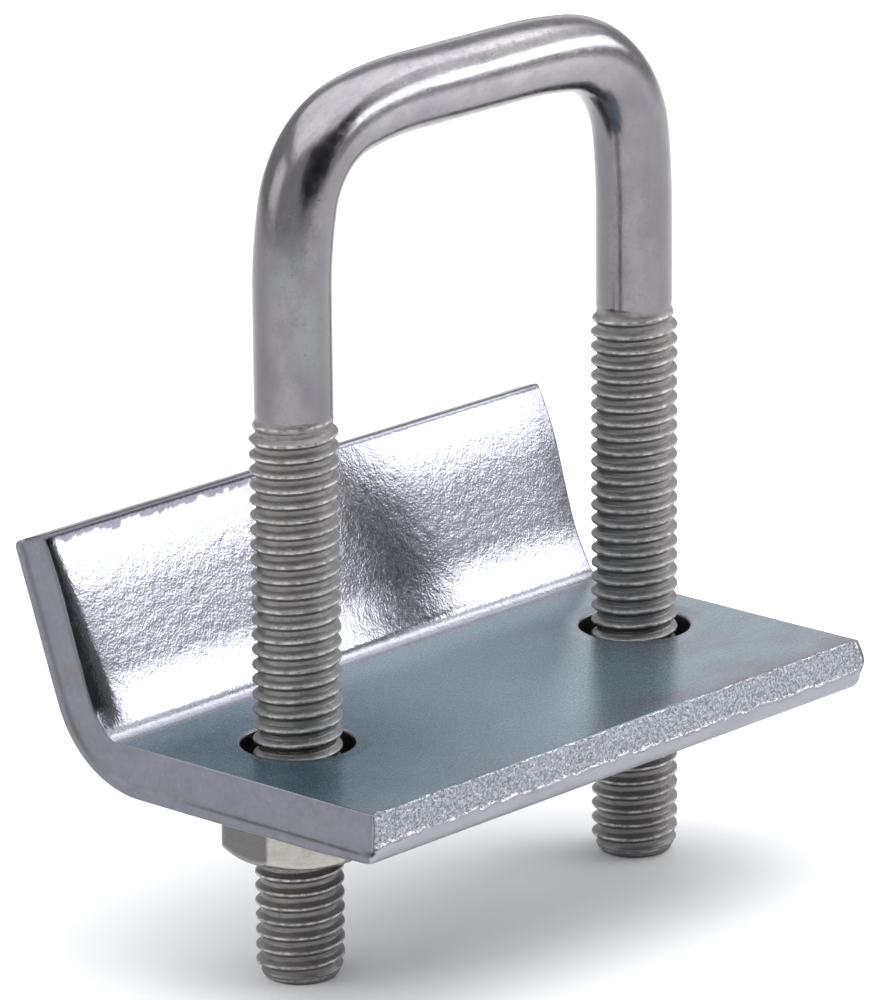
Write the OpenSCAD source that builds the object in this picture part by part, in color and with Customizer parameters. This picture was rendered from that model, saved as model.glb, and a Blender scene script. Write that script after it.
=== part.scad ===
// Strut beam clamp: a U-bolt, a bent clamp plate that rides on its two threaded
// legs, and a hex nut under the plate on each leg.
// Frame: origin on the plate's upper (bearing) face, midway between the legs.
// +X runs along the bar of the U-bolt, +Y towards the upturned lip, +Z up.

/* [U-bolt] */
// Distance between the axes of the two legs
leg_spacing = 52.5; // [50:0.5:56]
// Radius of the plain bar
bar_r = 4.05; // [3.9:0.05:4.2]
// Height of the bar's axis above the plate's upper face
bar_axis_z = 64.9; // [62:0.5:80]
// Depth of the leg ends below the plate's upper face
leg_end_depth = 25.2; // [24:0.1:32]

/* [Thread] */
// Major radius of the rolled thread (3/8 inch, 16 threads per inch)
thread_r = 4.65; // [4.6:0.01:4.7]
// Lead of the thread
thread_lead = 1.5875; // [1.5875:0.0001:1.5875]
// Height at which the thread runs out into the plain bar
thread_top_z = 34.8; // [33:0.1:40]
// Radius of the leg's end face inside its chamfer
leg_end_r = 3.8; // [3.6:0.05:4]
// Length of the chamfer at the leg's end
leg_chamfer = 1.6; // [0.6:0.1:2]

/* [Bends] */
// Distance from the left leg's axis to the straight stretch of the bar
left_run = 17.6; // [17:0.1:19]
// Radius of the gentle lead-in and lead-out of the left bend
left_soft_r = 42.6; // [36:0.2:46]
// Angle of each gentle stretch of the left bend
left_soft_angle = 11.6; // [10:0.2:12]
// Distance from the right leg's axis to the straight stretch of the bar
right_run = 19.3; // [18.4:0.1:21]
// Radius of the gentle lead-in and lead-out of the right bend
right_soft_r = 67; // [60:0.5:70]
// Angle of each gentle stretch of the right bend
right_soft_angle = 7.4; // [5:0.2:7.6]
// How much thicker the bar is where it is bent tightly
bend_swell = 0.02; // [0.01:0.01:0.1]

/* [Clamp plate] */
// Length of the plate along the bar
plate_length = 77.8; // [74:0.2:84]
// Thickness of the plate
plate_t = 5.5; // [5:0.1:6.4]
// Distance from the leg axes to the plate's front edge
plate_front = 21.8; // [18:0.2:26]
// Distance from the leg axes to the sharp inner corner of the bend
lip_corner = 14.9; // [13:0.1:18]
// Lean of the lip away from upright
lip_lean = 20; // [10:1:25]
// Height of the lip's inner edge along the slope
lip_length = 21.6; // [18:0.1:26]
// Inner radius of the bend
bend_inner_r = 2; // [1:0.1:4]
// Outer radius of the bend, wider than the inner one because the bend is coined thin
bend_outer_r = 12; // [11.5:0.1:12.5]
// Radius of the rounded lower front edge
front_roll_r = 1.2; // [0.6:0.1:2]
// Radius of the rounded outer edge at the top of the lip
lip_roll_r = 1; // [0.5:0.1:1.5]
// Radius of each leg hole
leg_hole_r = 6; // [5.4:0.1:6.4]

/* [Nuts] */
// Width of the nuts across their flats
nut_across_flats = 14.1; // [13.9:0.05:14.3]
// Height of the nuts
nut_height = 6.2; // [5.6:0.1:8.4]
// Radial clearance between nut bore and thread
nut_clearance = 0.05; // [0.02:0.01:0.1]
// Turn of the left nut about its leg
left_nut_turn = 20; // [0:1:60]
// Turn of the right nut about its leg
right_nut_turn = 43; // [0:1:60]
// Depth of the countersink at each end of the nut bore
nut_sink = 0.7; // [0.3:0.1:1]

/* [Hidden] */
$fn = 72;

// A bend is two gentle arcs with a tight one between them, 90 degrees in all. Angles are measured
// from the leg: 0 where the bend leaves the leg and 90 where it meets the bar.
function tight_radius(run, soft_r, soft_angle) =
    (run - soft_r * (1 - cos(soft_angle) + sin(soft_angle))) / (cos(soft_angle) - sin(soft_angle));

tight_lap = 1.5;       // angle by which the tight arc laps each gentle one
runout = thread_lead;  // length over which the thread fades into the plain bar
nut_crown_angle = 30;  // slope of the chamfer on the nuts' corners

// Plate outline, in (Y, Z): directions along the lip and square to it
lip_along = [sin(lip_lean), cos(lip_lean)];
lip_out = [cos(lip_lean), -sin(lip_lean)];
bend_angle = 90 - lip_lean;
inner_corner = [lip_corner, 0];
lip_top_in = inner_corner + lip_length * lip_along;
lip_top_out = lip_top_in + plate_t * lip_out;
// sharp meeting point of the plate's underside and the lip's outer face
outer_corner = inner_corner + plate_t * [tan(bend_angle / 2), -1];
outer_tangent = bend_outer_r * tan(bend_angle / 2);
inner_tangent = bend_inner_r * tan(bend_angle / 2);

// Bar bent about `centre` at radius `r`, from angle `from` to angle `to`
module bar_arc(centre, r, from, to, tube_r) {
    translate([centre[0], 0, centre[1]])
        rotate([90, 0, 180])
            rotate_extrude(angle = to - from, start = from, $fn = 96)
                translate([r, 0])
                    circle(r = tube_r, $fn = 48);
}

// One whole bend, from the top of a leg at the origin to the bar, leaning towards +X
module compound_bend(run, soft_r, soft_angle) {
    tight_r = tight_radius(run, soft_r, soft_angle);
    tight_centre = [soft_r, 0] + (soft_r - tight_r) * [-cos(soft_angle), sin(soft_angle)];
    bar_arc([soft_r, 0], soft_r, 0, soft_angle, bar_r);
    bar_arc([run, run - soft_r], soft_r, 90 - soft_angle, 90, bar_r);
    bar_arc(tight_centre, tight_r, soft_angle - tight_lap, 90 - soft_angle + tight_lap,
        bar_r + bend_swell);
}

// A leg from its chamfered end up to the start of its bend at height `top`
module leg(top) {
    rotate_extrude()
        polygon([
            [0, -leg_end_depth],
            [leg_end_r, -leg_end_depth],
            [thread_r, leg_chamfer - leg_end_depth],
            [thread_r, thread_top_z - runout],
            [bar_r, thread_top_z],
            [bar_r, top],
            [0, top],
        ]);
}

module u_bolt() {
    color("silver") {
        translate([-leg_spacing / 2, 0, 0]) {
            leg(bar_axis_z - left_run);
            translate([0, 0, bar_axis_z - left_run])
                compound_bend(left_run, left_soft_r, left_soft_angle);
        }
        translate([leg_spacing / 2, 0, 0]) {
            leg(bar_axis_z - right_run);
            translate([0, 0, bar_axis_z - right_run])
                mirror([1, 0, 0])
                    compound_bend(right_run, right_soft_r, right_soft_angle);
        }
        translate([left_run - leg_spacing / 2, 0, bar_axis_z])
            rotate([0, 90, 0])
                cylinder(r = bar_r, h = leg_spacing - left_run - right_run, $fn = 48);
    }
}

// Round the corner `at` of the outline that its children draw: `a` and `b` point from the corner
// along its two edges, `tangent` is the length cut from each edge, and `r` is the radius.
module rounded_corner(at, a, b, r, tangent) {
    centre = at + (a + b) * tangent / (1 + a * b);
    difference() {
        children();
        difference() {
            polygon([at, at + a * tangent, centre, at + b * tangent]);
            translate(centre)
                circle(r = r, $fn = 96);
        }
    }
}

module plate_outline() {
    rounded_corner(outer_corner, [-1, 0], lip_along, bend_outer_r, outer_tangent)
        rounded_corner([-plate_front, -plate_t], [1, 0], [0, 1], front_roll_r, front_roll_r)
            rounded_corner(lip_top_out, -lip_along, -lip_out, lip_roll_r, lip_roll_r)
                polygon([
                    [-plate_front, -plate_t],
                    outer_corner,
                    lip_top_out,
                    lip_top_in,
                    inner_corner,
                    [-plate_front, 0],
                ]);
    inner_bend_fillet();
}

// The material that rounds the inside of the bend
module inner_bend_fillet() {
    start = inner_corner - [inner_tangent, 0];
    centre = start + [0, bend_inner_r];
    difference() {
        polygon([inner_corner, inner_corner + inner_tangent * lip_along, centre, start]);
        translate(centre)
            circle(r = bend_inner_r, $fn = 96);
    }
}

module clamp_plate() {
    color("lightsteelblue")
        difference() {
            translate([-plate_length / 2, 0, 0])
                rotate([90, 0, 90])
                    linear_extrude(plate_length)
                        plate_outline();
            for (side = [-1, 1])
                translate([side * leg_spacing / 2, 0, -2 * plate_t])
                    cylinder(r = leg_hole_r, h = 3 * plate_t);
        }
}

// A hex nut hanging from the plate's underside, on the axis of its leg
module hex_nut(turn) {
    corner_r = nut_across_flats / sqrt(3);
    crown_r = 0.95 * nut_across_flats / 2;
    // the crowning cone is carried on past the corners
    cone_r = 1.2 * corner_r;
    cone_h = (cone_r - crown_r) * tan(nut_crown_angle);
    bore_r = thread_r + nut_clearance;
    translate([0, 0, -plate_t - nut_height])
        rotate([0, 0, turn])
            difference() {
                intersection() {
                    cylinder(r = corner_r, h = nut_height, $fn = 6);
                    rotate_extrude()
                        polygon([
                            [0, 0],
                            [crown_r, 0],
                            [cone_r, cone_h],
                            [cone_r, nut_height - cone_h],
                            [crown_r, nut_height],
                            [0, nut_height],
                        ]);
                }
                rotate_extrude()
                    polygon([
                        [0, -nut_sink],
                        [bore_r + 2 * nut_sink, -nut_sink],
                        [bore_r, nut_sink],
                        [bore_r, nut_height - nut_sink],
                        [bore_r + 2 * nut_sink, nut_height + nut_sink],
                        [0, nut_height + nut_sink],
                    ]);
            }
}

module hex_nut_left() {
    color("gray")
        translate([-leg_spacing / 2, 0, 0])
            hex_nut(left_nut_turn);
}

module hex_nut_right() {
    color("gray")
        translate([leg_spacing / 2, 0, 0])
            hex_nut(right_nut_turn);
}

u_bolt();
clamp_plate();
hex_nut_left();
hex_nut_right();
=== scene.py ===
"""Looks of a zinc-plated U-bolt beam clamp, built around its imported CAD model.

Shapes are worked out in millimetres in the CAD frame and scaled to metres when a mesh is made:
+X along the U-bolt's bar, +Y towards the plate's upturned lip, +Z up, origin on the plate's upper
face midway between the legs.
"""
import math

import bmesh
import bpy
import numpy as np
from mathutils import Matrix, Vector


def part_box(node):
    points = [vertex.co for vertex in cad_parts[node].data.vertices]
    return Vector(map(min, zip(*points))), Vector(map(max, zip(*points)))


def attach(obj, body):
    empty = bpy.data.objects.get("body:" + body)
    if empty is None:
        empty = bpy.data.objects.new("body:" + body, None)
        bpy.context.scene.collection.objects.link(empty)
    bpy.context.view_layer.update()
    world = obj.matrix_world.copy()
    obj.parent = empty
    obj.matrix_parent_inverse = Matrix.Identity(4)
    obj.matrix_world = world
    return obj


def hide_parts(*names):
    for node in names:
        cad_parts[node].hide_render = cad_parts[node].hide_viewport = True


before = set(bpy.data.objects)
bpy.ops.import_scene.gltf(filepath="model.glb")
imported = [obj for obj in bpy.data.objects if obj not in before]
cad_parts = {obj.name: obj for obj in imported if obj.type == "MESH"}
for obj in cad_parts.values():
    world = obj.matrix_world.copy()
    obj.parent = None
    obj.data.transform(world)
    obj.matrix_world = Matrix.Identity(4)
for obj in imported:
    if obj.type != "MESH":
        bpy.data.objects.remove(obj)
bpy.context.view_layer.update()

MM = 0.001
TURN = 2 * math.pi

# Sizes that the CAD gives
BOLT_LOW, BOLT_HIGH = [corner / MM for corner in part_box("u_bolt")]
PLATE_LOW, PLATE_HIGH = [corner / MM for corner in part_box("clamp_plate")]

# U-bolt, mm
THREAD_R = 4.62                      # crest of the rolled thread
ROOT_R = 3.96
LEAD = 1.5875
BAR_R = 4.04
CAD_THREAD_R = 4.65                  # radius of the legs in the CAD, which sets the box's width
CAD_BAR_R = 4.05
LEG_X = BOLT_HIGH.x - CAD_THREAD_R   # the legs stand at plus and minus this
LEG_END_Z = BOLT_LOW.z
BAR_Z = BOLT_HIGH.z - CAD_BAR_R      # height of the bar's axis
LEG_TIP_R = 3.8                      # radius of the end face inside the chamfer
LEG_CHAMFER = 1.6
BENDS = {                            # run, gentle radius, gentle angle in degrees
    "left": (17.6, 42.6, 11.6),
    "right": (19.3, 67.0, 7.4),
}
THREAD_TOP = {"left": 34.5, "right": 35.2}
CREST_ANGLE = math.radians(222.2)    # direction in which the crest heights below are given
CREST_Z = {"left": 0.72, "right": 0.93}
BOLT_COLUMNS = 96
THREAD_STEP = 0.08                   # distance between rings along a thread
END_ROUND_R = 0.4                    # rounding of the edge of a leg's end face
BEND_PRESS = 0.10                    # how flat the bar is pressed on the inside of a bend

# Clamp plate, mm
PLATE_T = 5.5
PLATE_FRONT = -PLATE_LOW.y
PLATE_END = PLATE_HIGH.x
LIP_CORNER = 14.9                    # y of the inner corner of the bend
LIP_LEAN = math.radians(20)
LIP_LENGTH = 21.6
BEND_ANGLE = math.pi / 2 - LIP_LEAN
BEND_IN_R = 2.0
BEND_OUT_R = 12.0
HOLE_R = 5.9
WINDOW = 8.0                         # half the side of the square patch around each hole
WINDOW_CELLS = 48
# (height above the underside, how far the end stands in from the block's end)
RIGHT_END_LEAN = ((0, 0.95), (1.2, 0.55), (2.6, 0.05), (5.5, 1.55))
LEFT_END_LEAN = ((0, -0.42), (1.15, -0.38), (1.35, -0.12), (3.0, -0.04), (5.5, 0.02))
DRAWN_IN = 0.8                       # how far the upper face's right end is drawn in at the bend
LIP_RISE = 0.3                       # how much higher the lip's left end stands than its right
SWEEP_DEPTH = 0.5                    # how far the lip's face stands back above the bend
ROLL_DEPTH = 0.5                     # how far it rolls back further at its top
DISH_DEPTH = 0.10                    # how far the rims of the holes are dished

# Nuts, mm
NUT_FLATS = 14.1
NUT_H = 6.2
NUT_TURN = {"left": 20.0, "right": 43.0}
NUT_COLUMNS = 120
NUT_SINK_R = 5.35                    # mouth of the countersink
NUT_SINK_DEPTH = 0.68
NUT_BORE_R = 4.72                    # bore where the thread starts
NUT_MINOR_R = 4.04
NUT_MAJOR_R = 4.76
NUT_FIT = 0.09                       # gap between the two threads
NUT_CORNER_WEAR = 0.16
CROWN_SLOPE = math.radians(30)
LIT_FLAT = 1                        # every other flat, counted from the nut's own turn, is paler: painted light


# ---------------------------------------------------------------- numbers

def smooth(x, low, high):
    """0 below low and 1 above high, with a smooth step between."""
    t = np.clip((x - low) / (high - low), 0, 1)
    return t * t * (3 - 2 * t)


def mix(a, b, t):
    return a + (b - a) * t


def ripple(u, v, seed):
    """Smooth random values from -1 to 1 over the plane (u, v), with features about one unit wide."""
    side = 211
    lattice = np.random.default_rng(seed).uniform(-1, 1, (side, side))
    iu = np.floor(u).astype(int)
    iv = np.floor(v).astype(int)
    fu = smooth(u - iu, 0, 1)
    fv = smooth(v - iv, 0, 1)
    a = lattice[iu % side, iv % side]
    b = lattice[(iu + 1) % side, iv % side]
    c = lattice[iu % side, (iv + 1) % side]
    d = lattice[(iu + 1) % side, (iv + 1) % side]
    return mix(mix(a, b, fu), mix(c, d, fu), fv)


def rough(u, v, seed, octaves=3):
    """Ripples summed over octaves, each half as wide and half as high as the one before."""
    total = 0
    for i in range(octaves):
        total = total + ripple(u * 2 ** i, v * 2 ** i, seed + i) / 2 ** i
    return total


# ---------------------------------------------------------------- meshes

def make_mesh(name, points, faces, masks, material, body, node, weld=False):
    """A smooth-shaded piece from points in mm, standing for a CAD node and moving with its body."""
    mesh = bpy.data.meshes.new(name)
    mesh.from_pydata((np.asarray(points) * MM).tolist(), [], faces)
    for mask, values in masks.items():
        layer = mesh.attributes.new(mask, "FLOAT", "POINT")
        layer.data.foreach_set("value", np.asarray(values, np.float32))
    if weld:
        weld_mesh(mesh)
    mesh.validate()
    mesh.materials.append(material)
    mesh.polygons.foreach_set("use_smooth", [True] * len(mesh.polygons))
    piece = bpy.data.objects.new(name, mesh)
    bpy.context.scene.collection.objects.link(piece)
    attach(piece, body)
    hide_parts(node)
    return piece


def weld_mesh(mesh):
    shape = bmesh.new()
    shape.from_mesh(mesh)
    bmesh.ops.remove_doubles(shape, verts=shape.verts, dist=2e-7)
    bmesh.ops.recalc_face_normals(shape, faces=shape.faces)
    shape.to_mesh(mesh)
    shape.free()


def ring_faces(rows, columns):
    """Quads between neighbouring rings of a tube whose rings are numbered one after another."""
    ring = np.arange(columns)
    following = (ring + 1) % columns
    faces = []
    for row in range(rows - 1):
        low = row * columns
        high = low + columns
        quads = np.stack([low + ring, low + following, high + following, high + ring], axis=1)
        faces += quads.tolist()
    return faces


# ---------------------------------------------------------------- threads

def thread_profile(u):
    """Height of the thread, 0 at the root and 1 at the crest, at u pitches from a crest.

    The flanks are steep, the root is wide and the crest is narrow and rounded by rolling."""
    root_edge = 0.345
    flank_width = 0.245
    crown_height = 0.10
    crown_edge = 0.14
    blur = 0.034
    cells = 400
    across = np.linspace(-0.5, 0.5, cells + 1)
    flanks = np.clip((root_edge - np.abs(across)) / flank_width, 0, 1)
    crown = crown_height * (1 - np.clip(np.abs(across) / crown_edge, 0, 1) ** 2)
    height = flanks + crown
    reach = np.linspace(-0.12, 0.12, 97)
    weight = np.exp(-(reach / blur) ** 2)
    rounded = np.convolve(np.tile(height[:-1], 3), weight / weight.sum(), mode="same")
    rounded = np.append(rounded[cells:2 * cells], rounded[cells])
    rounded = (rounded - rounded.min()) / (rounded.max() - rounded.min())
    return np.interp(u, across, rounded)


def thread_phase(side, angle, z):
    """Distance from the nearest crest, in pitches."""
    climb = (z - CREST_Z[side]) / LEAD - (angle - CREST_ANGLE) / TURN
    return climb - np.round(climb)


def leg_radius(side, angle, z):
    """Radius of a leg at each angle and height, with its thread, run-out and end chamfer."""
    form = thread_profile(thread_phase(side, angle, z))
    wear = 0.02 * rough(angle * 4, z * 1.4, 11 if side == "left" else 23)
    crest = THREAD_R - 0.03 + wear * smooth(form, 0.6, 1)
    top = THREAD_TOP[side]
    neck_depth = 0.06
    neck_length = 0.8
    ease = smooth(z, top - 2.4, top - 0.1)
    deep = smooth(z, top - 1.5, top + 0.1)
    outer = mix(crest, BAR_R, ease ** 1.5)
    inner = mix(ROOT_R, BAR_R - neck_depth * (1 - smooth(z, top, top + neck_length)), deep)
    threaded = mix(inner, outer, form)
    threaded = np.where(z > top + neck_length, BAR_R, threaded)
    along = z - LEG_END_Z
    edge = np.sqrt(np.clip(1 - (1 - np.clip(along / END_ROUND_R, 0, 1)) ** 2, 0, 1))
    limit = LEG_TIP_R - END_ROUND_R * 0.7 * (1 - edge)
    limit = limit + (THREAD_R - LEG_TIP_R) * np.clip(along / LEG_CHAMFER, 0, 1) ** 1.15
    end = smooth(along, LEG_CHAMFER + 0.5, LEG_CHAMFER - 1.0)
    return np.minimum(threaded, limit) + 0.25 * end * np.maximum(limit - threaded, 0)


def bend_line(run, soft_r, soft_angle, step=0.5):
    """Centre line of a bend from the top of its leg: (x, z, angle of the bar from upright)."""
    soft = math.radians(soft_angle)
    turn_r = (run - soft_r * (1 - math.cos(soft) + math.sin(soft))) / (math.cos(soft) - math.sin(soft))
    corner = math.pi / 2 - soft
    tight_x = soft_r - (soft_r - turn_r) * math.cos(soft)
    tight_z = (soft_r - turn_r) * math.sin(soft)
    stretches = (
        (0, soft, soft_r, soft_r, 0),
        (soft, corner, turn_r, tight_x, tight_z),
        (corner, math.pi / 2, soft_r, run, run - soft_r),
    )
    line = []
    for low, high, radius, centre_x, centre_z in stretches:
        count = max(2, round((high - low) * radius / step))
        for a in np.linspace(low, high, count, endpoint=False):
            line.append((centre_x - radius * math.cos(a), centre_z + radius * math.sin(a), a))
    return line


# ---------------------------------------------------------------- U-bolt

def bolt_rows():
    """Rows of the U-bolt's skin, from the left leg's end round to the right leg's end.

    Each is (x, z, angle of the bar from upright, leg or None, radius of a cap ring or None)."""
    caps = (0.02, 0.6, 1.4, 2.2, 2.9, 3.3)
    rows = []
    for side in ("left", "right"):
        sign = -1 if side == "left" else 1
        run, soft_r, soft_angle = BENDS[side]
        bend_z = BAR_Z - run
        upright = 0 if side == "left" else math.pi
        part = [(sign * LEG_X, LEG_END_Z, upright, side, r) for r in caps]
        fine = np.arange(LEG_END_Z, THREAD_TOP[side] + 1.2, THREAD_STEP)
        plain = np.arange(fine[-1] + 0.3, bend_z, 0.5)
        part += [(sign * LEG_X, z, upright, side, None) for z in np.append(fine, plain)]
        for x, z, a in bend_line(run, soft_r, soft_angle):
            heading = a if side == "left" else math.pi - a
            part.append((sign * (LEG_X - x), bend_z + z, heading, None, None))
        rows += part if side == "left" else part[::-1]
        if side == "left":
            start = run - LEG_X
            stop = LEG_X - BENDS["right"][0]
            rows += [(x, BAR_Z, math.pi / 2, None, None) for x in np.arange(start, stop, 0.6)]
    return rows


def build_u_bolt(material):
    rows = bolt_rows()
    turn = np.arange(BOLT_COLUMNS) / BOLT_COLUMNS * TURN
    points = []
    thread = []
    crest = []
    upright = []
    steps = np.hypot(np.diff([row[0] for row in rows]), np.diff([row[1] for row in rows]))
    travel = np.concatenate([[0], np.cumsum(steps)])
    for x, z, heading, side, cap in rows:
        normal = np.array([math.cos(heading), 0, -math.sin(heading)])
        out = np.cos(turn)[:, None] * normal + np.sin(turn)[:, None] * np.array([0, 1, 0])
        centre = np.array([x, 0, z])
        if side is None:
            # the bar is pressed a little flat on the inside of each bend
            pressed = math.sin(2 * heading) ** 2 * BEND_PRESS
            inner = np.cos(turn) * (1 if heading <= math.pi / 2 else -1)
            wobble = 0.012 * ripple(turn * 1.5, np.full_like(turn, (x + 2 * z) * 0.16), 5)
            radius = BAR_R - pressed * smooth(inner, 0.2, 1.0) + wobble
            form = np.zeros(BOLT_COLUMNS)
            mask = np.zeros(BOLT_COLUMNS)
        else:
            angle = np.arctan2(out[:, 1], out[:, 0])
            height = np.full(BOLT_COLUMNS, z)
            radius = leg_radius(side, angle, height)
            form = thread_profile(thread_phase(side, angle, height))
            mask = 1 - smooth(height, THREAD_TOP[side] - 0.5, THREAD_TOP[side] + 0.5)
            if cap is not None:
                radius = np.full(BOLT_COLUMNS, cap)
                form = np.full(BOLT_COLUMNS, 0.5)
        points.append(centre + out * np.reshape(radius, (-1, 1)))
        thread.append(mask)
        crest.append(form)
        upright.append(np.full(BOLT_COLUMNS, abs(math.cos(heading))))
    points = np.concatenate(points)
    faces = ring_faces(len(rows), BOLT_COLUMNS)
    last = (len(rows) - 1) * BOLT_COLUMNS
    faces.append(list(range(BOLT_COLUMNS))[::-1])
    faces.append(list(range(last, last + BOLT_COLUMNS)))
    masks = {
        "thread": np.concatenate(thread),
        "crest": np.concatenate(crest),
        "upright": np.concatenate(upright),
        "bar_u": np.tile(BAR_R * np.cos(turn), len(rows)) * MM,
        "bar_v": np.tile(BAR_R * np.sin(turn), len(rows)) * MM,
        "bar_w": np.repeat(travel, BOLT_COLUMNS) * MM,
    }
    return make_mesh("u_bolt_bar", points, faces, masks, material, "u_bolt", "u_bolt")


# ---------------------------------------------------------------- clamp plate

FLAT_TO_BEND = PLATE_FRONT + LIP_CORNER - BEND_IN_R * math.tan(BEND_ANGLE / 2)
BEND_ARC = BEND_IN_R * BEND_ANGLE
OUTER_CUT = BEND_OUT_R * math.tan(BEND_ANGLE / 2)
OUTER_START = PLATE_FRONT + LIP_CORNER + PLATE_T * math.tan(BEND_ANGLE / 2) - OUTER_CUT
LIP_OUTER_START = OUTER_CUT - PLATE_T * math.tan(BEND_ANGLE / 2)
LIP_START = BEND_IN_R * math.tan(BEND_ANGLE / 2)
S_LIP = FLAT_TO_BEND + BEND_ARC                       # where the lip's straight inner face starts
OUTER_STOP = S_LIP + LIP_OUTER_START - LIP_START      # where the lip's straight outer face starts
S_TOP = S_LIP + LIP_LENGTH - LIP_START                # the lip's top edge


def inner_line(s):
    """(y, z) of the plate's upper and inner face at the distance s from its front edge."""
    turn = np.clip((s - FLAT_TO_BEND) / BEND_IN_R, 0, BEND_ANGLE)
    rise = np.maximum(s - S_LIP, 0)
    flat = np.minimum(s, FLAT_TO_BEND)
    y = flat - PLATE_FRONT + BEND_IN_R * np.sin(turn) + rise * math.sin(LIP_LEAN)
    z = BEND_IN_R * (1 - np.cos(turn)) + rise * math.cos(LIP_LEAN)
    return y, z


def outer_line(s):
    """(y, z) of the plate's underside and outer face beside the same s."""
    turn = np.clip((s - OUTER_START) / (OUTER_STOP - OUTER_START), 0, 1) * BEND_ANGLE
    rise = np.maximum(s - OUTER_STOP, 0)
    flat = np.minimum(s, OUTER_START)
    y = flat - PLATE_FRONT + BEND_OUT_R * np.sin(turn) + rise * math.sin(LIP_LEAN)
    z = BEND_OUT_R * (1 - np.cos(turn)) + rise * math.cos(LIP_LEAN) - PLATE_T
    return y, z


def round_block(x, s, t):
    """Rounds the edges of the straight block before it is bent: x along, s across, t up from below."""
    high = smooth(t, 1.5, 4.0)
    edge_x = mix(mix(1.3, 0.45, smooth(s, 1, 7)), 0.3, high)
    edge_s = mix(mix(1.2, 0.22, high), mix(0.8, 0.7, high), smooth(s, 20, 40))
    edge_t = mix(mix(1.1, 0.6, smooth(s, 2, 8)), mix(0.25, 0.6, smooth(s, 40, 50)), high)
    end_x = np.sign(x) * PLATE_END
    gone_x = np.clip((edge_x - (PLATE_END - np.abs(x))) / edge_x, 0, 1)
    near_s = np.minimum(s, S_TOP - s)
    gone_s = np.clip((edge_s - near_s) / edge_s, 0, 1)
    near_t = np.minimum(t, PLATE_T - t)
    gone_t = np.clip((edge_t - near_t) / edge_t, 0, 1)
    long = np.sqrt(gone_x ** 2 + gone_s ** 2 + gone_t ** 2)
    most = np.maximum(np.maximum(gone_x, gone_s), gone_t)
    keep = np.where(long > 1e-9, most / np.maximum(long, 1e-9), 1)
    x = np.where(gone_x > 0, end_x - np.sign(x) * edge_x * (1 - gone_x * keep), x)
    s_end = np.where(s < S_TOP / 2, 0, S_TOP)
    s_in = np.where(s < S_TOP / 2, 1, -1)
    s = np.where(gone_s > 0, s_end + s_in * edge_s * (1 - gone_s * keep), s)
    t_end = np.where(t < PLATE_T / 2, 0, PLATE_T)
    t_in = np.where(t < PLATE_T / 2, 1, -1)
    t = np.where(gone_t > 0, t_end + t_in * edge_t * (1 - gone_t * keep), t)
    return x, s, t


def torn_band(x, t):
    """1 where the front edge is torn and 0 on the burnished band below it, with a ragged border."""
    border = 2.05 + 0.16 * rough(x * 0.9, x * 0, 41) + 0.10 * ripple(x * 3.1, x * 0, 47)
    corner = smooth(np.abs(x), PLATE_END - 0.45, PLATE_END - 0.75)
    return smooth(t, border - 0.10, border + 0.16) * corner


def curled(inset, up, low_width, high_width, slope):
    """How far the lip curls back at the distance `inset` from its end, at the height share `up`."""
    width = mix(low_width, high_width, np.clip(up, 0, 1))
    return slope * width * np.clip(1 - inset / width, 0, 1) ** 2 * smooth(up, -0.05, 0.1)


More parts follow.
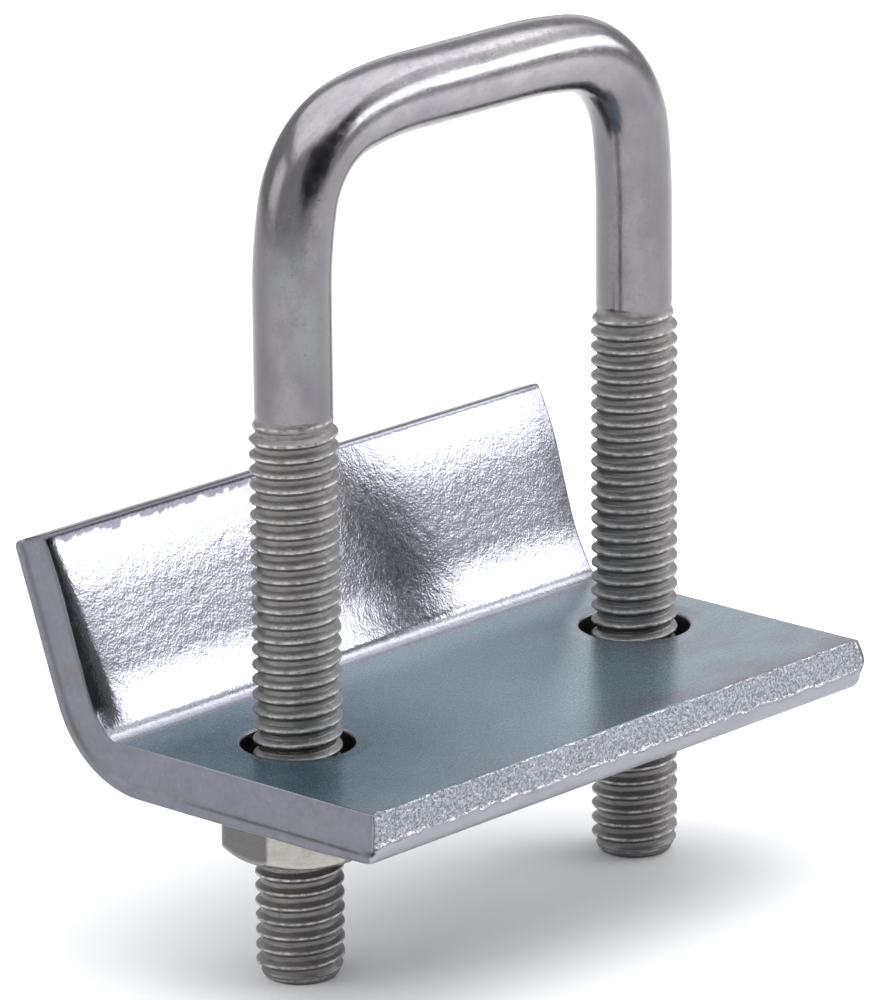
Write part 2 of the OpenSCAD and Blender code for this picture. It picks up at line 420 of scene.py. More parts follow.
def bend_plate(x, s, t):
    """Places block points in the CAD frame, with the marks of shearing, punching and bending."""
    facing = smooth(s, 0.9, 0.0)
    torn = torn_band(x, t)
    raised = t                       # the height before the edges are rounded
    x, s, t = round_block(x, s, t)
    # front edge: a torn band set back from the burnished one, with a chipped upper corner
    grain = rough(x * 1.9, raised * 2.3, 51)
    chips = smooth(rough(x * 0.55, x * 0, 61), 0.35, 1.1) * smooth(raised, 4.2, 5.5)
    s = s + facing * (torn * (0.20 + 0.11 * grain) + 0.30 * chips)
    waver = 0.10 * ripple(x * 0.35, x * 0, 63) * smooth(raised, 4.0, 5.5)
    s = s + facing * waver
    # the sheared ends lean
    lean_right = np.interp(t, *zip(*RIGHT_END_LEAN))
    lean_left = np.interp(t, *zip(*LEFT_END_LEAN))
    toward = smooth(np.abs(x), PLATE_END - 5, PLATE_END)
    uneven = 0.05 * ripple(s * 0.25, t * 0.6, 71)
    up = (s - S_LIP) / (S_TOP - S_LIP)
    # bending draws the upper face's right end in beside the bend
    drawn_in = DRAWN_IN * smooth(s, FLAT_TO_BEND - 5, FLAT_TO_BEND + 1) * (1 - smooth(up, 0.15, 0.8))
    drawn_in = drawn_in * smooth(t, 1.0, 4.5)
    x = x - np.where(x > 0, lean_right + drawn_in, -lean_left) * toward + uneven * toward
    # the lip's left end stands a little higher
    s = s + LIP_RISE * smooth(s, S_LIP, S_TOP) * smooth(x, PLATE_END, -PLATE_END)
    # the lip sweeps up from the bend, rolls back at its top and curls back at both ends
    sweep = SWEEP_DEPTH * (1 - np.clip(1 - up / 0.27, 0, 1) ** 2) * smooth(up, -0.06, 0.02)
    roll = ROLL_DEPTH * np.clip((up - 0.60) / 0.40, 0, 1) ** 2
    curl = curled(x + PLATE_END, up, 3.6, 1.2, 0.21) + curled(PLATE_END - x, up, 2.2, 1.4, 0.15)
    hollow = sweep + roll + curl
    inward = smooth(t, 0.5, PLATE_T)
    inner_y, inner_z = inner_line(s)
    outer_y, outer_z = outer_line(s)
    share = t / PLATE_T
    y = mix(outer_y, inner_y, share)
    z = mix(outer_z, inner_z, share)
    back = hollow * inward
    y = y + back * math.cos(LIP_LEAN)
    z = z - back * math.sin(LIP_LEAN)
    # slow waves in the faces, and the dished rims of the punched holes
    wave = 0.025 * ripple(x * 0.07, s * 0.09, 81)
    away = np.minimum(np.hypot(x - LEG_X, y), np.hypot(x + LEG_X, y))
    dish = DISH_DEPTH * smooth(away, HOLE_R + 2.2, HOLE_R + 0.1) * smooth(t, 4.5, 5.5)
    z = z + wave - dish * smooth(s, S_LIP, FLAT_TO_BEND)
    return np.stack([x, y, z], axis=1)


def spaced(low, high, step):
    return np.linspace(low, high, max(2, round((high - low) / step) + 1))


def clustered(size, step):
    """Offsets from an edge, close together near it and reaching `step` apart at `size`."""
    near = [0, 0.06, 0.14, 0.24, 0.36, 0.5, 0.66, 0.84, 1.04, 1.26]
    return np.append(near, spaced(1.5, size, step))


def plate_lines():
    """Grid lines of the block: along x, across s and up t."""
    inner = LEG_X - WINDOW
    outer = LEG_X + WINDOW
    end = PLATE_END - clustered(PLATE_END - outer, 0.33)[::-1]
    window = np.linspace(inner, outer, WINDOW_CELLS + 1)
    half = np.concatenate([window, end[1:]])
    middle = spaced(-inner, inner, 0.33)
    x = np.concatenate([-half[::-1], middle[1:-1], half])
    hole_s = PLATE_FRONT
    front = clustered(hole_s - WINDOW, 0.33)
    across = np.linspace(hole_s - WINDOW, hole_s + WINDOW, WINDOW_CELLS + 1)
    flat = spaced(hole_s + WINDOW, FLAT_TO_BEND, 0.4)
    bend = spaced(FLAT_TO_BEND, S_LIP, 0.22)
    lip = S_TOP - clustered(S_TOP - S_LIP, 0.35)[::-1]
    s = np.concatenate([front[:-1], across, flat[1:], bend[1:], lip[1:]])
    edge = clustered(2.0, 0.2)
    under_top = PLATE_T - edge[edge < 1.4][::-1]
    t = np.concatenate([edge[:-1], spaced(2.0, PLATE_T - 1.5, 0.19), under_top])
    return np.unique(np.round(x, 7)), np.unique(np.round(s, 7)), np.unique(np.round(t, 7))


def grid_faces(rows, columns, start, skip=None):
    """Quads of a grid of rows by columns; skip is a mask of the cells that are left open."""
    row, column = np.meshgrid(np.arange(rows - 1), np.arange(columns - 1), indexing="ij")
    if skip is not None:
        row = row[~skip]
        column = column[~skip]
    corner = (start + row * columns + column).ravel()
    return np.stack([corner, corner + 1, corner + columns + 1, corner + columns], axis=1).tolist()


def block_skin():
    """The six faces of the block, with a square window left open around each hole."""
    x_lines, s_lines, t_lines = plate_lines()
    blocks = []
    faces = []
    count = 0

    def add(a_lines, b_lines, place, skip=None):
        nonlocal count
        a, b = np.meshgrid(a_lines, b_lines, indexing="ij")
        blocks.append(np.stack([np.broadcast_to(v, a.shape).ravel() for v in place(a, b)], axis=1))
        faces.extend(grid_faces(len(a_lines), len(b_lines), count, skip))
        count += a.size

    middle_x = (x_lines[1:] + x_lines[:-1]) / 2
    middle_s = (s_lines[1:] + s_lines[:-1]) / 2
    in_x = np.abs(np.abs(middle_x) - LEG_X) < WINDOW
    in_s = np.abs(middle_s - PLATE_FRONT) < WINDOW
    window = in_x[:, None] & in_s[None, :]
    add(x_lines, s_lines, lambda a, b: (a, b, PLATE_T), window)
    add(x_lines, s_lines, lambda a, b: (a, b, 0.0), window)
    add(x_lines, t_lines, lambda a, b: (a, 0.0, b))
    add(x_lines, t_lines, lambda a, b: (a, S_TOP, b))
    add(s_lines, t_lines, lambda a, b: (-PLATE_END, a, b))
    add(s_lines, t_lines, lambda a, b: (PLATE_END, a, b))
    return np.concatenate(blocks), faces


def hole_skin(leg_x):
    """The square window around one hole on both faces, its rounded rims and its wall."""
    side = np.linspace(-WINDOW, WINDOW, WINDOW_CELLS + 1)[:-1]
    far = np.full(WINDOW_CELLS, WINDOW)
    square_x = np.concatenate([side, far, -side, -far])
    square_y = np.concatenate([-far, side, far, -side])
    angle = np.arctan2(square_y, square_x)
    ragged = 0.05 * ripple(angle * 5, angle * 0, 91)
    rows = []

    def ring(radius, t):
        rows.append(np.stack([radius * np.cos(angle), radius * np.sin(angle), angle * 0 + t], axis=1))

    def window(t, shares):
        for share in shares:
            flat_x = mix((HOLE_R + 0.35) * np.cos(angle), square_x, share)
            flat_y = mix((HOLE_R + 0.35) * np.sin(angle), square_y, share)
            rows.append(np.stack([flat_x, flat_y, angle * 0 + t], axis=1))

    shares = np.linspace(0, 1, 9)
    window(PLATE_T, shares[::-1])
    ring(HOLE_R + 0.18 + ragged * 0.5, PLATE_T - 0.03)
    ring(HOLE_R + 0.06 + ragged * 0.5, PLATE_T - 0.12)
    ring(HOLE_R, PLATE_T - 0.35)
    for t in np.linspace(PLATE_T - 0.8, 2.6, 6):
        ring(HOLE_R, t)
    for t in np.linspace(2.2, 0.4, 8):
        ring(HOLE_R + 0.05 + 0.06 * ripple(angle * 9, angle * 0 + t * 2, 93), t)
    ring(HOLE_R + 0.14 + ragged, 0.1)
    window(0.0, shares)
    points = np.concatenate(rows)
    points[:, 0] += leg_x
    points[:, 1] += PLATE_FRONT
    return points, ring_faces(len(rows), len(angle))


def plate_masks(x, s, t):
    """Where each kind of surface lies on the block."""
    on_face = smooth(t, PLATE_T - 0.25, PLATE_T - 0.02)
    at_end = smooth(np.abs(x), PLATE_END - 0.25, PLATE_END - 0.02)
    from_hole = np.minimum(np.hypot(x - LEG_X, s - PLATE_FRONT), np.hypot(x + LEG_X, s - PLATE_FRONT))
    torn = torn_band(x, t) * smooth(s, 0.45, 0.1)
    torn = torn * (1 - on_face)
    up = smooth(s, FLAT_TO_BEND - 0.2, FLAT_TO_BEND + 0.5)
    front = smooth(s, 0.9, 0.3) * (1 - on_face) * (1 - at_end)
    # painted shade: a dark band along the lip's top edge, darkest on the left
    lip_top_shade_edge = S_TOP - 1.35 - 0.45 * rough(x * 0.8, x * 0, 95) + 0.5 * smooth(x, -5, 25)
    lip_top_shade = smooth(s, lip_top_shade_edge, lip_top_shade_edge + 0.35) * smooth(t, 0.8, 1.6)
    lip_top_shade = lip_top_shade * (1 - 0.8 * on_face * smooth(x, -14, 4))
    # a line along the inner corner of the bend, just before it
    bend_corner_reach = 0.55 + 0.12 * rough(x * 0.3, x * 0, 97)
    bend_corner_line = on_face * smooth(np.abs(s - FLAT_TO_BEND + 0.25), bend_corner_reach, 0.2)
    # painted shade: dark lines in the fold across the sheared ends and at their lower front corners
    fold = 1.30 + 0.10 * rough(s * 0.25, s * 0, 99)
    crease_shade = at_end * smooth(np.abs(t - fold), 0.16, 0.04) * smooth(s, 30, 18) * smooth(s, 0.4, 2.0)
    corner_shade = smooth(np.abs(np.abs(x) - PLATE_END + 0.45), 0.34, 0.10) * smooth(s, 0.6, 0.1)
    corner_shade = corner_shade * smooth(t, 0.6, 1.4) * (1 - on_face)
    rosy = 0.8 * smooth(x, -5, 38) + 0.6 * smooth(s, 9, 0)
    inside = 1 - at_end
    return {
        "torn": torn,
        "burnished": front * (1 - torn) * smooth(np.abs(x), PLATE_END - 0.7, PLATE_END - 1.5),
        "lip_top_shade": lip_top_shade,
        "bend_corner_line": bend_corner_line,
        "crease_shade": np.maximum(crease_shade, corner_shade),
        "rosy": np.clip(rosy, 0, 1),
        "painted_sheen": smooth(x, -28, 2),
        "lip_end_shade": up * on_face * smooth(x, PLATE_END - 8.5, PLATE_END - 1),
        "lip": up * on_face * inside,
        "top": (1 - up) * on_face * inside * smooth(from_hole, HOLE_R, HOLE_R + 0.4),
        "end": at_end,
        "hole": smooth(from_hole, HOLE_R + 0.35, HOLE_R),
    }


def build_clamp_plate(material):
    skin, faces = block_skin()
    parts = [skin]
    count = len(skin)
    for leg_x in (-LEG_X, LEG_X):
        points, hole_faces = hole_skin(leg_x)
        faces += [[corner + count for corner in face] for face in hole_faces]
        parts.append(points)
        count += len(points)
    block = np.concatenate(parts)
    x, s, t = block.T
    masks = plate_masks(x, s, t)
    points = bend_plate(x, s, t)
    return make_mesh("clamp_plate_steel", points, faces, masks, material,
                     "clamp_plate", "clamp_plate", weld=True)


# ---------------------------------------------------------------- nuts

def build_nut(side, material):
    """A hex nut with chamfered corners, countersinks and a thread that fits its leg's."""
    leg_x = -LEG_X if side == "left" else LEG_X
    body = "nut_" + side
    turn = math.radians(NUT_TURN[side])
    local = np.arange(NUT_COLUMNS) / NUT_COLUMNS * TURN
    angle = local + turn
    folded = np.abs((local % (math.pi / 3)) - math.pi / 6)
    half = NUT_FLATS / 2
    hexagon = half / np.cos(folded)
    hexagon = hexagon - NUT_CORNER_WEAR * smooth(folded, math.pi / 6 - 0.07, math.pi / 6)
    crown = 0.95 * half
    drop = (hexagon - crown) * math.tan(CROWN_SLOPE)
    low = -PLATE_T - NUT_H
    high = -PLATE_T
    rows = []

    def ring(radius, z, worn=0.0):
        rows.append((radius + angle * 0, z + angle * 0, angle * 0 + worn))

    ring(NUT_BORE_R, low + NUT_SINK_DEPTH)
    ring(NUT_SINK_R - 0.06, low + 0.05, 0.6)
    ring(NUT_SINK_R + 0.06, low, 0.8)
    for r in np.linspace(NUT_SINK_R + 0.3, crown - 0.25, 4):
        ring(r, low)
    ring(crown, low + 0.01, 0.3)
    for share in (0.1, 0.5, 0.85):
        ring(mix(crown, hexagon, share), low + drop * share + 0.01, 0.3 + share * 0.5)
    ring(hexagon - 0.04, low + drop + 0.02, 1.0)
    ring(hexagon, low + drop + 0.14, 0.8)
    for share in np.linspace(0.08, 0.92, 8):
        ring(hexagon, mix(low + drop + 0.1, high - drop - 0.1, share))
    ring(hexagon, high - drop - 0.14, 0.8)
    ring(hexagon - 0.04, high - drop - 0.02, 1.0)
    for share in (0.85, 0.5, 0.1):
        ring(mix(crown, hexagon, share), high - drop * share - 0.01, 0.3 + share * 0.5)
    ring(crown, high - 0.01)
    ring(NUT_SINK_R + 0.06, high)
    ring(NUT_SINK_R - 0.06, high - 0.05)
    for z in np.arange(high - NUT_SINK_DEPTH, low + NUT_SINK_DEPTH + 0.01, -THREAD_STEP):
        height = angle * 0 + z
        male = mix(ROOT_R, THREAD_R, thread_profile(thread_phase(side, angle, height)))
        groove = np.clip(male + NUT_FIT, NUT_MINOR_R, NUT_MAJOR_R)
        inside = smooth(np.minimum(z - low, high - z), 0.6, 1.5)
        mouth = NUT_BORE_R - (NUT_BORE_R - NUT_MINOR_R) * inside
        ring(np.maximum(groove, mouth), z)
    radius = np.concatenate([row[0] for row in rows])
    z = np.concatenate([row[1] for row in rows])
    worn = np.concatenate([row[2] for row in rows])
    around = np.tile(angle, len(rows))
    flat = np.floor(local / (math.pi / 3)).astype(int)
    # painted light: every other flat is marked to take a paler colour than its neighbours
    pale = np.tile(np.where(flat % 2 == LIT_FLAT, 1.0, 0.0), len(rows))
    pale = pale * (radius > crown - 0.01)
    points = np.stack([leg_x + radius * np.cos(around), radius * np.sin(around), z], axis=1)
    faces = ring_faces(len(rows), NUT_COLUMNS)
    first = np.arange(NUT_COLUMNS)
    after = (first + 1) % NUT_COLUMNS
    last = (len(rows) - 1) * NUT_COLUMNS
    closing = np.stack([last + first, last + after, after, first], axis=1)
    faces += closing.tolist()
    masks = {"worn": worn, "pale": pale}
    return make_mesh("hex_nut_" + side + "_steel", points, faces, masks, material,
                     body, "hex_nut_" + side, weld=True)


# ---------------------------------------------------------------- material nodes

class Nodes:
    """Short names for the nodes that the materials use."""

    def __init__(self, name):
        self.material = bpy.data.materials.new(name)
        self.material.use_nodes = True
        self.tree = self.material.node_tree
        self.shader = self.tree.nodes["Principled BSDF"]
        self.place = self.add("ShaderNodeTexCoord").outputs["Object"]

    def add(self, kind, **values):
        node = self.tree.nodes.new(kind)
        for name, value in values.items():
            setattr(node, name, value)
        return node

    def link(self, source, target):
        self.tree.links.new(source, target)

    def put(self, socket, value):
        """Joins a socket to another one, or sets it to a number or colour."""
        if isinstance(value, bpy.types.NodeSocket):
            self.link(value, socket)
        else:
            socket.default_value = value

    def along(self, *names):
        """Makes later noise follow three coordinates that the mesh carries."""
        node = self.add("ShaderNodeCombineXYZ")
        for name, socket in zip(names, node.inputs):
            self.link(self.mask(name), socket)
        self.place = node.outputs["Vector"]

    def stretched(self, x, y, z):
        """Coordinates scaled per axis, in features per millimetre."""
        node = self.add("ShaderNodeMapping")
        self.link(self.place, node.inputs["Vector"])
        node.inputs["Scale"].default_value = (x / MM, y / MM, z / MM)
        return node.outputs["Vector"]

    def noise(self, scale, detail=2.0, roughness=0.5, stretch=(1, 1, 1)):
        node = self.add("ShaderNodeTexNoise")
        x, y, z = stretch
        self.link(self.stretched(x * scale, y * scale, z * scale), node.inputs["Vector"])
        node.inputs["Scale"].default_value = 1.0
        node.inputs["Detail"].default_value = detail
        node.inputs["Roughness"].default_value = roughness
        return node.outputs["Fac"]

    def facing(self, low, high):
        """0 where the surface faces the eye and 1 where it turns away."""
        node = self.add("ShaderNodeLayerWeight")
        node.inputs["Blend"].default_value = 0.5
        return self.span(node.outputs["Facing"], low, high)

    def mask(self, name):
        return self.add("ShaderNodeAttribute", attribute_name=name).outputs["Fac"]

    def times(self, a, b):
        node = self.add("ShaderNodeMath", operation="MULTIPLY")
        self.put(node.inputs[0], a)
        self.put(node.inputs[1], b)
        return node.outputs["Value"]

    def span(self, value, low, high, out_low=0.0, out_high=1.0):
        node = self.add("ShaderNodeMapRange", interpolation_type="SMOOTHSTEP")
        self.put(node.inputs["Value"], value)
        node.inputs["From Min"].default_value = low
        node.inputs["From Max"].default_value = high
        self.put(node.inputs["To Min"], out_low)
        self.put(node.inputs["To Max"], out_high)
        return node.outputs["Result"]

    def blend(self, share, a, b):
        """A colour between a and b."""
        node = self.add("ShaderNodeMix", data_type="RGBA")
        self.put(node.inputs["Factor"], share)
        self.put(node.inputs[6], a if isinstance(a, bpy.types.NodeSocket) else (*a, 1))
        self.put(node.inputs[7], b if isinstance(b, bpy.types.NodeSocket) else (*b, 1))
        return node.outputs[2]

    def tint(self, colour, share, strength, tone):
        """The colour with some of another tone in it, as much as share times strength."""
        return self.blend(self.times(share, strength), colour, tone)

    def mixed(self, share, a, b):
        """A number between a and b."""
        node = self.add("ShaderNodeMix", data_type="FLOAT")
        self.put(node.inputs["Factor"], share)
        self.put(node.inputs[2], a)
        self.put(node.inputs[3], b)
        return node.outputs[0]

    def bump(self, height, distance, strength=1.0, under=None):
        """A bump from a height of 0 to 1, as deep as `distance` in mm."""
        node = self.add("ShaderNodeBump")
        self.put(node.inputs["Strength"], strength)
        node.inputs["Distance"].default_value = distance * MM
        self.link(height, node.inputs["Height"])
        if under is not None:
            self.link(under, node.inputs["Normal"])
        return node.outputs["Normal"]

    def finish(self, colour, roughness, normal):
        self.link(colour, self.shader.inputs["Base Color"])
        self.link(roughness, self.shader.inputs["Roughness"])
        self.link(normal, self.shader.inputs["Normal"])
        if not self.shader.inputs["Metallic"].is_linked:
            self.shader.inputs["Metallic"].default_value = 1.0
        return self.material


def bar_material():
    """Zinc on the drawn bar with a violet bloom, painted lighter on the level bar than on the upright
    legs and painted darker as shade where it turns from the eye; duller, browner zinc on the threads,
    with painted glints on their crests.
    """
    n = Nodes("zinc_bar")
    n.along("bar_u", "bar_v", "bar_w")
    upright = n.mask("upright")
    thread = n.mask("thread")
    crest = n.mask("crest")
    bloom = n.span(n.noise(0.22, 4, 0.6, (1, 1, 0.6)), 0.35, 0.65)
    colour = n.blend(bloom, (0.20, 0.19, 0.21), (0.265, 0.258, 0.265))
    green = n.span(n.noise(0.1, 2, 0.5, (1, 1, 0.5)), 0.50, 0.66)
    colour = n.blend(green, colour, (0.24, 0.257, 0.252))
    # painted light: the level bar takes a lighter copy of the zinc than the upright legs
    colour = n.blend(upright, n.blend(bloom, (0.29, 0.277, 0.30), (0.36, 0.35, 0.36)), colour)
    # painted shade: the zinc darkens where the surface turns away from the eye, over a different span
    # on the bar and on the legs
    edge_shade = n.mixed(upright, n.facing(0.34, 0.66), n.facing(0.02, 0.34))
    colour = n.tint(colour, edge_shade, 0.65, (0.14, 0.134, 0.147))
    mottle = n.span(n.noise(0.9, 4, 0.65, (1, 1, 0.45)), 0.42, 0.68)
    colour = n.tint(colour, mottle, 0.35, (0.19, 0.175, 0.20))
    specks = n.span(n.noise(2.4, 4, 0.65), 0.60, 0.70)
    colour = n.tint(colour, specks, 0.55, (0.15, 0.145, 0.155))
    root = n.blend(n.noise(0.7, 3), (0.19, 0.185, 0.175), (0.28, 0.268, 0.262))
    flank = n.blend(n.noise(0.9, 4), (0.20, 0.20, 0.20), (0.29, 0.285, 0.295))
    # painted highlight: the thread crests take a bright, mottled colour that stands in for glints
    glint_mottle = n.span(n.noise(1.3, 4, 0.65), 0.38, 0.62)
    painted_crest_glint = n.blend(glint_mottle, (0.27, 0.255, 0.24), (0.56, 0.55, 0.53))
    thread_colour = n.blend(n.span(crest, 0.02, 0.30), root, flank)
    thread_colour = n.blend(n.span(crest, 0.90, 1.0), thread_colour, painted_crest_glint)
    colour = n.blend(thread, colour, thread_colour)
    fine = n.noise(1.2, 4, 0.6)
    shine = n.span(fine, 0.3, 0.75, 0.17, 0.27)
    dull = n.span(fine, 0.3, 0.75, 0.42, 0.58)
    roughness = n.mixed(thread, shine, dull)
    drawn = n.noise(1.6, 3, 0.6, (1, 1, 0.12))
    pits = n.span(n.noise(3.2, 2, 0.5), 0.62, 0.75)
    normal = n.bump(drawn, 0.016, 1.0)
    normal = n.bump(pits, 0.012, 0.7, normal)
    dings = n.span(n.noise(2.4, 3, 0.65), 0.45, 0.75)
    normal = n.bump(dings, 0.04, n.times(thread, 0.8), normal)
    return n.finish(colour, roughness, normal)


def plate_material():
    """One sheet of zinc-plated steel whose faces were rolled, sheared, torn and pressed."""
    n = Nodes("zinc_plate")
    torn = n.mask("torn")
    lip = n.mask("lip")
    top = n.mask("top")
    end = n.mask("end")
    hole = n.mask("hole")
    burnished = n.mask("burnished")
    lip_top_shade = n.mask("lip_top_shade")
    # underside and the lip's outer face, with drag marks and blotches
    colour = n.blend(n.noise(0.15, 4, 0.6), (0.30, 0.31, 0.345), (0.44, 0.45, 0.485))
    drag = n.span(n.noise(0.9, 5, 0.7, (0.06, 1, 1)), 0.52, 0.72)
    colour = n.tint(colour, drag, 0.45, (0.20, 0.20, 0.225))
    blotch = n.span(n.noise(0.28, 4, 0.65), 0.50, 0.66)
    colour = n.tint(colour, blotch, 0.4, (0.24, 0.235, 0.26))
    # upper face: satin blue-grey, paler to the right as a painted sheen, with a pink bloom on the
    # right and in front
    cloud = n.span(n.noise(0.08, 4, 0.6), 0.3, 0.7)
    satin = n.blend(cloud, (0.070, 0.124, 0.157), (0.096, 0.162, 0.198))
    # painted sheen: the satin is lighter towards the right
    satin = n.tint(satin, n.mask("painted_sheen"), 0.8, (0.21, 0.285, 0.33))
    rose = n.span(n.noise(0.12, 3, 0.6, (0.5, 1, 1)), 0.40, 0.66, 0.25, 1.0)
    satin = n.tint(satin, rose, n.mask("rosy"), (0.155, 0.148, 0.178))
    freckle = n.span(n.noise(1.5, 3, 0.6), 0.66, 0.76)
    satin = n.tint(satin, freckle, 0.3, (0.065, 0.095, 0.115))
    colour = n.blend(top, colour, satin)
    # lip: bright and pebbled, darker at its right end as painted shade, with a grey line along the
    # inner corner of the bend
    pebbled = n.blend(n.noise(0.3, 3), (0.375, 0.383, 0.43), (0.31, 0.318, 0.365))
    motes = n.span(n.noise(3.0, 3, 0.6), 0.56, 0.72)
    pebbled = n.tint(pebbled, motes, 0.45, (0.30, 0.315, 0.37))
    # painted shade: the lip's right end is darker
    pebbled = n.tint(pebbled, n.mask("lip_end_shade"), 0.65, (0.15, 0.155, 0.18))
    colour = n.blend(lip, colour, pebbled)
    # a grey-violet line along the inner corner of the bend
    colour = n.tint(colour, n.mask("bend_corner_line"), 0.8, (0.20, 0.185, 0.21))
    # sheared ends, darkened partly as painted shade, with a painted shade line along the lip's top and
    # painted shade lines in the creases
    # the sheared ends' colour is their own duller finish, set darker as painted shade
    sheared = n.blend(n.noise(0.35, 4, 0.6), (0.17, 0.175, 0.205), (0.22, 0.22, 0.25))
    scuffed = n.span(n.noise(1.8, 4, 0.65), 0.55, 0.75)
    sheared = n.tint(sheared, scuffed, 0.4, (0.30, 0.30, 0.34))
    rusty = n.span(n.noise(0.5, 3, 0.6), 0.55, 0.72)
    sheared = n.tint(sheared, rusty, 0.35, (0.20, 0.175, 0.16))
    # painted shade: a dark band under the lip's rounded top edge
    colour = n.tint(colour, lip_top_shade, 0.95, (0.085, 0.08, 0.10))
    colour = n.blend(end, colour, sheared)
    # painted shade: dark lines in the creases of the sheared ends
    colour = n.tint(colour, n.mask("crease_shade"), 0.8, (0.06, 0.052, 0.05))
    # front edge: burnished below and torn above, with painted glints along the border
    pressed = n.blend(n.noise(0.5, 4, 0.6, (0.4, 1, 1)), (0.27, 0.27, 0.305), (0.35, 0.347, 0.385))
    colour = n.blend(burnished, colour, pressed)
    broken = n.span(n.noise(3.2, 4, 0.7), 0.36, 0.64)
    facets = n.blend(broken, (0.16, 0.18, 0.215), (0.48, 0.49, 0.53))
    colour = n.blend(torn, colour, facets)
    # painted highlight: bright flecks along both borders of the torn band
    border = n.times(n.span(torn, 0.25, 0.6), n.span(torn, 0.98, 0.6))
    painted_glints = n.times(border, n.span(n.noise(3.2, 3, 0.6), 0.48, 0.62))
    colour = n.blend(painted_glints, colour, (0.80, 0.80, 0.83))
    colour = n.blend(hole, colour, (0.16, 0.15, 0.15))
    # roughness
    grain = n.noise(1.6, 4, 0.6)
    back_rough = n.span(n.noise(0.6, 5, 0.7, (0.2, 1, 1)), 0.3, 0.7, 0.22, 0.44)
    rough_value = n.mixed(top, back_rough, n.span(n.noise(3.0, 4, 0.65), 0.3, 0.7, 0.21, 0.34))
    rough_value = n.mixed(lip, rough_value, n.span(grain, 0.3, 0.7, 0.15, 0.22))
    rough_value = n.mixed(end, rough_value, n.span(grain, 0.3, 0.7, 0.38, 0.52))
    rough_value = n.mixed(torn, rough_value, n.span(grain, 0.3, 0.7, 0.16, 0.30))
    n.link(n.mixed(top, 1.0, 0.65), n.shader.inputs["Metallic"])
    # relief
    dimples = n.noise(3.8, 1, 0.5)
    normal = n.bump(dimples, 0.020, n.mixed(lip, 0.004, 1.0))
    waves = n.noise(0.9, 2, 0.5)
    normal = n.bump(waves, 0.04, n.mixed(lip, 0.012, 1.0), normal)
    torn_relief = n.noise(2.8, 3, 0.6)
    normal = n.bump(torn_relief, 0.20, torn, normal)
    matt = n.noise(5.0, 3, 0.6)
    normal = n.bump(matt, 0.012, n.mixed(top, 1.0, 0.06), normal)
    return n.finish(colour, rough_value, normal)


def nut_material():
    """Zinc-plated nut: every other flat is given a paler colour as painted light, and its corners are
    worn.
    """
    n = Nodes("zinc_nut")
    worn = n.mask("worn")
    # painted light and shade: a dark copy of the zinc for the shaded flats and a pale copy for the lit
    # ones
    dark = n.blend(n.noise(0.3, 3, 0.6), (0.11, 0.108, 0.107), (0.155, 0.15, 0.147))
    light = n.blend(n.noise(0.5, 3, 0.6), (0.33, 0.32, 0.295), (0.44, 0.427, 0.395))
    smudge = n.span(n.noise(0.35, 4, 0.65), 0.46, 0.66)
    light = n.tint(light, smudge, 0.6, (0.27, 0.26, 0.25))
    colour = n.blend(n.mask("pale"), dark, light)
    colour = n.tint(colour, worn, 0.35, (0.70, 0.68, 0.64))
    grain = n.noise(1.4, 4, 0.6, (1, 1, 3))
    roughness = n.span(grain, 0.3, 0.7, 0.24, 0.38)
    normal = n.bump(n.noise(2.0, 3, 0.6), 0.015, 1.0)
    return n.finish(colour, roughness, normal)


def floor_material():
    n = Nodes("floor")
    colour = n.blend(n.noise(0.004, 2), (0.94, 0.94, 0.94), (0.96, 0.96, 0.96))
    n.link(colour, n.shader.inputs["Base Color"])
    n.shader.inputs["Roughness"].default_value = 0.9
    return n.material


# ---------------------------------------------------------------- studio

def build_floor():
    """A pale floor, 12 m square, level with the leg ends."""
    mesh = bpy.data.meshes.new("floor")
    reach = 6.0
    z = LEG_END_Z * MM
    corners = [(-reach, -reach, z), (reach, -reach, z), (reach, reach, z), (-reach, reach, z)]
    mesh.from_pydata(corners, [], [(0, 1, 2, 3)])
    mesh.materials.append(floor_material())
    floor = bpy.data.objects.new("floor", mesh)
    bpy.context.scene.collection.objects.link(floor)


def soft_box(name, toward, distance, size, watts):
    """A rectangular area light that stands in the direction `toward` and faces the clamp."""
    lamp = bpy.data.lights.new(name, "AREA")
    lamp.shape = "RECTANGLE"
    lamp.size, lamp.size_y = size
    lamp.energy = watts
    light = bpy.data.objects.new(name, lamp)
    bpy.context.scene.collection.objects.link(light)
    back = np.array(toward) / np.linalg.norm(toward)
    light.location = back * distance
    right = np.cross([0, 0, 1], back)
    right = right / np.linalg.norm(right)
    up = np.cross(back, right)
    turn = Matrix((right, up, back)).transposed()
    light.rotation_euler = turn.to_euler()


def build_lights():
    soft_box("key_right_front", (0.71, -0.59, 0.405), 0.6, (0.54, 0.165), 1.2)
    soft_box("fill_right", (0.80, -0.25, 0.66), 1.15, (0.95, 0.50), 0.95)
    soft_box("rear_right", (0.74, 0.62, 0.27), 1.4, (0.9, 0.36), 0.7)
    soft_box("overhead", (0.05, 0.05, 1.0), 1.3, (2.2, 2.2), 26.0)
    soft_box("left_edge", (-0.76, 0.52, 0.36), 1.1, (0.6, 0.6), 1.5)


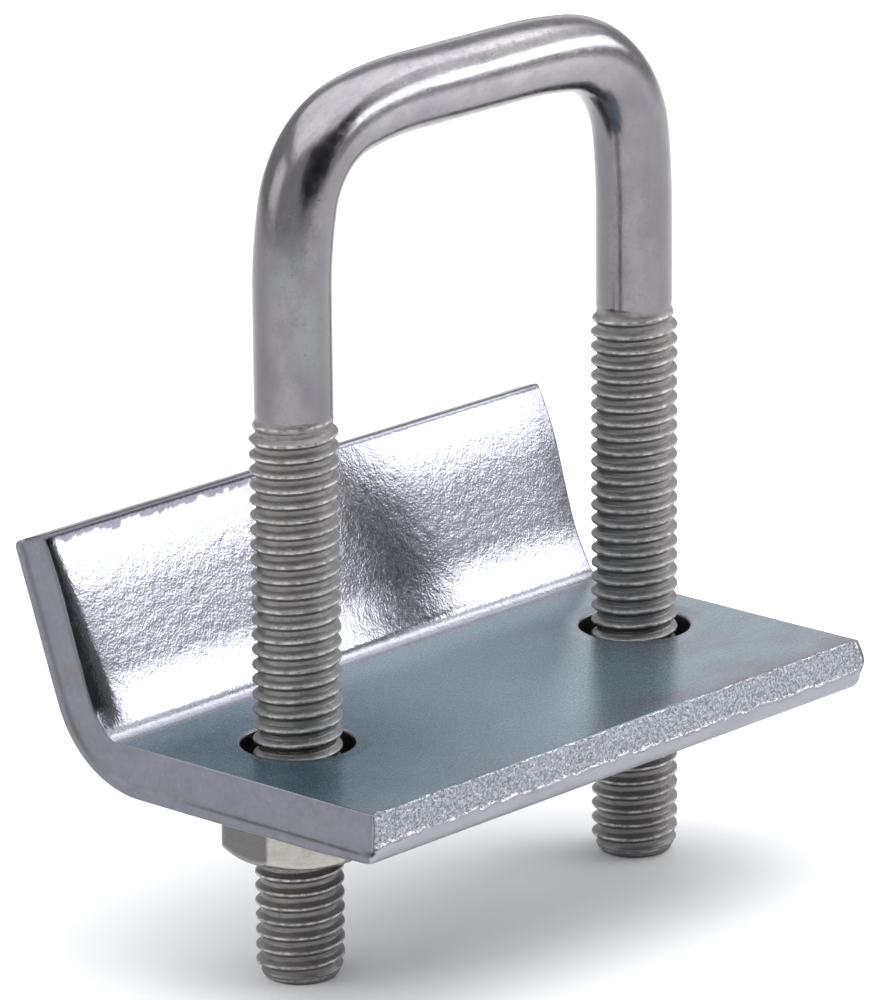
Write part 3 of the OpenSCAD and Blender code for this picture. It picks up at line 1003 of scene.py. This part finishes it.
def build_world():
    """A dim room, a little lighter overhead, with a dark patch in front of and above the clamp."""
    world = bpy.data.worlds.new("room")
    bpy.context.scene.world = world
    world.use_nodes = True
    tree = world.node_tree
    background = tree.nodes["Background"]
    place = tree.nodes.new("ShaderNodeTexCoord")
    split = tree.nodes.new("ShaderNodeSeparateXYZ")
    tree.links.new(place.outputs["Generated"], split.inputs["Vector"])
    climb = tree.nodes.new("ShaderNodeMapRange")
    climb.inputs["From Min"].default_value = 0.0
    climb.inputs["From Max"].default_value = 0.8
    climb.inputs["To Min"].default_value = 0.58
    climb.inputs["To Max"].default_value = 0.66
    tree.links.new(split.outputs["Z"], climb.inputs["Value"])
    dot = tree.nodes.new("ShaderNodeVectorMath")
    dot.operation = "DOT_PRODUCT"
    dark_patch = (-0.15, -0.88, 0.45)
    dot.inputs[1].default_value = dark_patch
    tree.links.new(place.outputs["Generated"], dot.inputs[0])
    shade = tree.nodes.new("ShaderNodeMapRange")
    shade.interpolation_type = "SMOOTHSTEP"
    shade.inputs["From Min"].default_value = 0.78
    shade.inputs["From Max"].default_value = 0.88
    shade.inputs["To Min"].default_value = 1.0
    shade.inputs["To Max"].default_value = 0.06
    tree.links.new(dot.outputs["Value"], shade.inputs["Value"])
    total = tree.nodes.new("ShaderNodeMath")
    total.operation = "MULTIPLY"
    tree.links.new(climb.outputs["Result"], total.inputs[0])
    tree.links.new(shade.outputs["Result"], total.inputs[1])
    tree.links.new(total.outputs["Value"], background.inputs["Strength"])
    background.inputs["Color"].default_value = (0.97, 0.98, 1.0, 1)


def build_camera():
    """The camera stands off the clamp's left front corner and looks down on it."""
    place = (-0.60917, -0.54916, 0.26490)
    azimuth = math.radians(-47.777)
    elevation = math.radians(16.647)
    roll = math.radians(-0.4476)
    back = np.array([math.sin(azimuth) * math.cos(elevation),
                     -math.cos(azimuth) * math.cos(elevation),
                     math.sin(elevation)])
    level = np.array([math.cos(azimuth), math.sin(azimuth), 0])
    raised = np.cross(back, level)
    right = level * math.cos(roll) + raised * math.sin(roll)
    up = raised * math.cos(roll) - level * math.sin(roll)
    lens = bpy.data.cameras.new("camera")
    lens.sensor_width = 36
    lens.lens = 297.4
    lens.clip_start = 0.01
    lens.clip_end = 50
    camera = bpy.data.objects.new("camera", lens)
    bpy.context.scene.collection.objects.link(camera)
    turn = Matrix((right, up, back)).transposed().to_4x4()
    camera.matrix_world = Matrix.Translation(place) @ turn
    bpy.context.scene.camera = camera


def set_colour_management():
    view = bpy.context.scene.view_settings
    view.view_transform = "Standard"
    view.look = "None"
    view.exposure = 0.0
    view.gamma = 1.0


build_u_bolt(bar_material())
build_clamp_plate(plate_material())
nut_steel = nut_material()
build_nut("left", nut_steel)
build_nut("right", nut_steel)
build_floor()
build_lights()
build_world()
build_camera()
set_colour_management()
